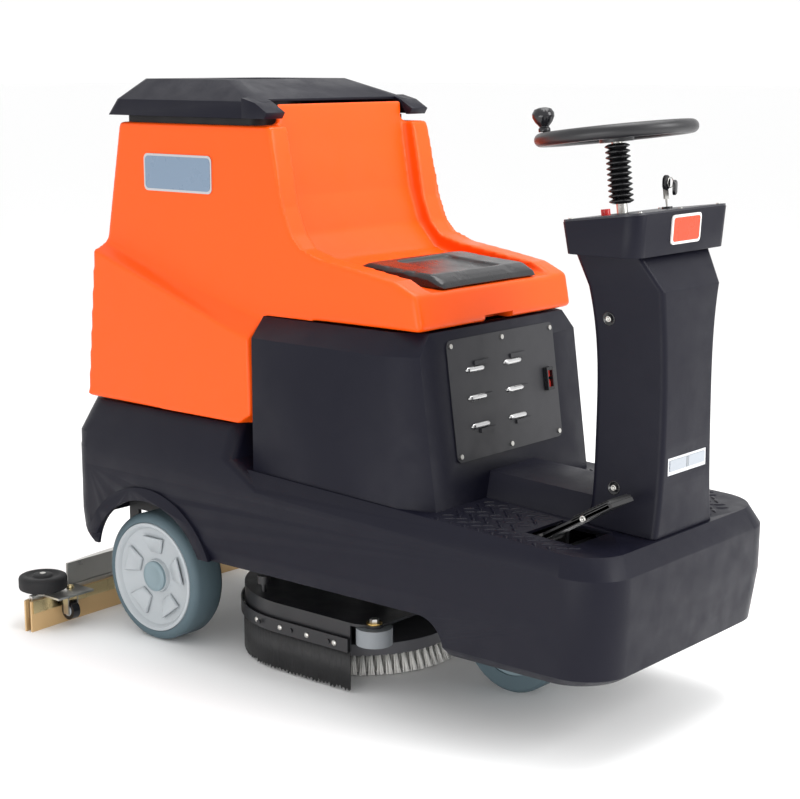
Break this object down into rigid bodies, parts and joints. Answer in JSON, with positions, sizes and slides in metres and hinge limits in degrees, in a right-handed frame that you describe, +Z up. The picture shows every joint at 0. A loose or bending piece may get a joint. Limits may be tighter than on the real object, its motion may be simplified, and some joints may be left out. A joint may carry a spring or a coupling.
{
  "type": "ride-on scrubber dryer",
  "caption": "Battery ride-on floor scrubber dryer with seat on a tilting recovery tank, steering column, disc brush deck and curved rear squeegee.",
  "frame": {"origin": "on the floor under the centre of the machine's footprint", "axes": "+X forward, +Y to the machine's left, +Z up"},
  "size_m": [1.5979, 0.897, 1.283],
  "materials": {
    "orange_moulding": "satin",
    "dark_moulding": "satin",
    "grey_plastic": "matte",
    "black_plastic": "satin",
    "red_plastic": "glossy",
    "seat_cover": "matte",
    "black_rubber": "matte",
    "blade_rubber": "matte",
    "tyre_rubber": "matte",
    "steel_frame": "satin",
    "bright_steel": "brushed",
    "zinc_steel": "satin",
    "deck_aluminium": "satin",
    "hub_aluminium": "satin",
    "motor_paint": "satin",
    "badge_plastic": "glossy",
    "bristle": "matte",
    "lamp_lens": "glossy",
    "roller_plastic": "satin"
  },
  "bodies": {
    "chassis": {"chassis_frame": "steel_frame", "body_shell": "dark_moulding", "batteries": "black_plastic", "solution_tank": "dark_moulding", "filler_cap": "black_plastic", "access_panel": "black_plastic", "charging_socket": "black_plastic", "motor_controller": "black_plastic", "tank_hinge_brackets": "steel_frame", "column_cover": "dark_moulding", "headlight": "lamp_lens", "control_box": "black_plastic", "dash_panel": "black_plastic", "key_switch": "black_plastic", "front_badge": "black_plastic", "dome_screws": "bright_steel", "steering_bellows": "black_rubber", "steering_chain": "bright_steel", "steering_mast": "steel_frame", "rear_axle": "bright_steel"},
    "recovery_tank": {"recovery_tank": "orange_moulding", "tank_badge": "badge_plastic", "vacuum_motor": "motor_paint", "seat_pad": "seat_cover", "lid_gasket": "black_rubber"},
    "tank_lid": {"tank_lid": "dark_moulding"},
    "steering_wheel": {"steering_wheel": "black_plastic", "steering_shaft": "bright_steel"},
    "spinner_knob": {"spinner_knob": "black_plastic"},
    "lower_steering_shaft": {"lower_steering_shaft": "bright_steel"},
    "drive_fork": {"drive_fork": "steel_frame", "steering_sprocket": "bright_steel", "drive_motor": "motor_paint"},
    "drive_wheel": {"drive_hub": "hub_aluminium", "drive_tyre": "tyre_rubber"},
    "ignition_key": {"ignition_key": "bright_steel"},
    "emergency_button": {"emergency_button": "red_plastic"},
    "drive_pedal": {"drive_pedal": "black_plastic"},
    "rear_wheel_right": {"rear_tyre_right": "tyre_rubber", "rear_wheel_hub_right": "hub_aluminium"},
    "rear_wheel_left": {"rear_tyre_left": "tyre_rubber", "rear_wheel_hub_left": "hub_aluminium"},
    "deck_arms_front": {"deck_arms_front": "steel_frame"},
    "deck_arms_rear": {"deck_arms_rear": "steel_frame"},
    "brush_deck": {"deck_housing": "deck_aluminium", "deck_skirt": "black_plastic", "skirt_clamp_strip": "motor_paint", "brush_motor": "motor_paint"},
    "brush": {"brush_disc": "grey_plastic", "brush_bristles": "bristle"},
    "deck_roller_right": {"deck_roller_right": "roller_plastic"},
    "deck_roller_left": {"deck_roller_left": "roller_plastic"},
    "squeegee_arm": {"squeegee_arm": "steel_frame"},
    "squeegee": {"squeegee_frame": "bright_steel", "squeegee_blades": "blade_rubber", "blade_straps": "zinc_steel"},
    "squeegee_roller_right": {"squeegee_roller_right": "black_rubber"},
    "squeegee_roller_left": {"squeegee_roller_left": "black_rubber"},
    "caster_wheel_right": {"caster_wheel_right": "roller_plastic"},
    "caster_wheel_left": {"caster_wheel_left": "roller_plastic"}
  },
  "joints": [
    {"name": "front_steer", "type": "hinge", "parent": "chassis", "child": "drive_fork", "pos_m": [0.375, 0, 0.2], "axis": [0, 0, 1], "range_deg": [-55, 55]},
    {"name": "steering_wheel_turn", "type": "hinge", "parent": "chassis", "child": "steering_wheel", "pos_m": [0.682, 0, 0.44], "axis": [-0.1219, 0, 0.9925], "range_deg": [-165, 165]},
    {"name": "lower_shaft_turn", "type": "hinge", "parent": "chassis", "child": "lower_steering_shaft", "pos_m": [0.682, 0, 0.3], "axis": [0, 0, 1], "range_deg": [-165, 165]},
    {"name": "spinner_knob_spin", "type": "hinge", "parent": "steering_wheel", "child": "spinner_knob", "pos_m": [0.45082, -0.04038, 1.16725], "axis": [-0.1219, 0, 0.9925], "continuous": true},
    {"name": "drive_wheel_spin", "type": "hinge", "parent": "drive_fork", "child": "drive_wheel", "pos_m": [0.375, 0, 0.125], "axis": [0, 1, 0], "continuous": true},
    {"name": "rear_wheel_spin_right", "type": "hinge", "parent": "chassis", "child": "rear_wheel_right", "pos_m": [-0.465, -0.25, 0.15], "axis": [0, 1, 0], "continuous": true},
    {"name": "rear_wheel_spin_left", "type": "hinge", "parent": "chassis", "child": "rear_wheel_left", "pos_m": [-0.465, 0.25, 0.15], "axis": [0, 1, 0], "continuous": true},
    {"name": "tank_tilt", "type": "hinge", "parent": "chassis", "child": "recovery_tank", "pos_m": [-0.691, 0, 0.564], "axis": [0, -1, 0], "range_deg": [0, 60]},
    {"name": "lid_open", "type": "hinge", "parent": "recovery_tank", "child": "tank_lid", "pos_m": [-0.589, 0, 1.182], "axis": [0, -1, 0], "range_deg": [0, 80]},
    {"name": "pedal_press", "type": "hinge", "parent": "chassis", "child": "drive_pedal", "pos_m": [0.577, -0.182, 0.4093], "axis": [0, 1, 0], "range_deg": [0, 18], "stiffness_Nm_per_rad": 6},
    {"name": "key_turn", "type": "hinge", "parent": "chassis", "child": "ignition_key", "pos_m": [0.65872, 0.084, 1.0363], "axis": [-0.1219, 0, 0.9925], "range_deg": [0, 60]},
    {"name": "button_press", "type": "slide", "parent": "chassis", "child": "emergency_button", "axis": [0.1219, 0, -0.9925], "range_m": [0, 0.004], "stiffness_N_per_m": 900},
    {"name": "deck_swing", "type": "hinge", "parent": "chassis", "child": "deck_arms_front", "pos_m": [0.185, 0, 0.272], "axis": [0, 1, 0], "range_deg": [0, 19.8]},
    {"name": "deck_rear_link", "type": "hinge", "parent": "chassis", "child": "deck_arms_rear", "pos_m": [-0.125, 0, 0.272], "axis": [0, 1, 0], "range_deg": [0, 19.8]},
    {"name": "deck_level", "type": "hinge", "parent": "deck_arms_front", "child": "brush_deck", "pos_m": [0.045, 0, 0.232], "axis": [0, 1, 0], "range_deg": [-19.8, 0]},
    {"name": "brush_spin", "type": "hinge", "parent": "brush_deck", "child": "brush", "pos_m": [-0.08, 0, 0.1], "axis": [0, 0, 1], "continuous": true},
    {"name": "deck_roller_spin_right", "type": "hinge", "parent": "brush_deck", "child": "deck_roller_right", "pos_m": [0.165, -0.232, 0.13], "axis": [0, 0, 1], "continuous": true},
    {"name": "deck_roller_spin_left", "type": "hinge", "parent": "brush_deck", "child": "deck_roller_left", "pos_m": [0.165, 0.232, 0.13], "axis": [0, 0, 1], "continuous": true},
    {"name": "squeegee_lift", "type": "hinge", "parent": "chassis", "child": "squeegee_arm", "pos_m": [-0.645, 0, 0.205], "axis": [0, 1, 0], "range_deg": [0, 22]},
    {"name": "squeegee_swing", "type": "hinge", "parent": "squeegee_arm", "child": "squeegee", "pos_m": [-0.709, 0, 0.1], "axis": [0, 0, 1], "range_deg": [-10, 10]},
    {"name": "squeegee_roller_spin_right", "type": "hinge", "parent": "squeegee", "child": "squeegee_roller_right", "pos_m": [-0.74, -0.391, 0.1], "axis": [0, 0, 1], "continuous": true},
    {"name": "squeegee_roller_spin_left", "type": "hinge", "parent": "squeegee", "child": "squeegee_roller_left", "pos_m": [-0.74, 0.391, 0.1], "axis": [0, 0, 1], "continuous": true},
    {"name": "caster_spin_right", "type": "hinge", "parent": "squeegee", "child": "caster_wheel_right", "pos_m": [-0.693, -0.348, 0.038], "axis": [0, 1, 0], "continuous": true},
    {"name": "caster_spin_left", "type": "hinge", "parent": "squeegee", "child": "caster_wheel_left", "pos_m": [-0.693, 0.348, 0.038], "axis": [0, 1, 0], "continuous": true}
  ],
  "couplings": [
    {"joint": "steering_wheel_turn", "follows": "front_steer", "ratio": 3},
    {"joint": "lower_shaft_turn", "follows": "front_steer", "ratio": 3},
    {"joint": "deck_rear_link", "follows": "deck_swing", "ratio": 1},
    {"joint": "deck_level", "follows": "deck_swing", "ratio": -1}
  ]
}
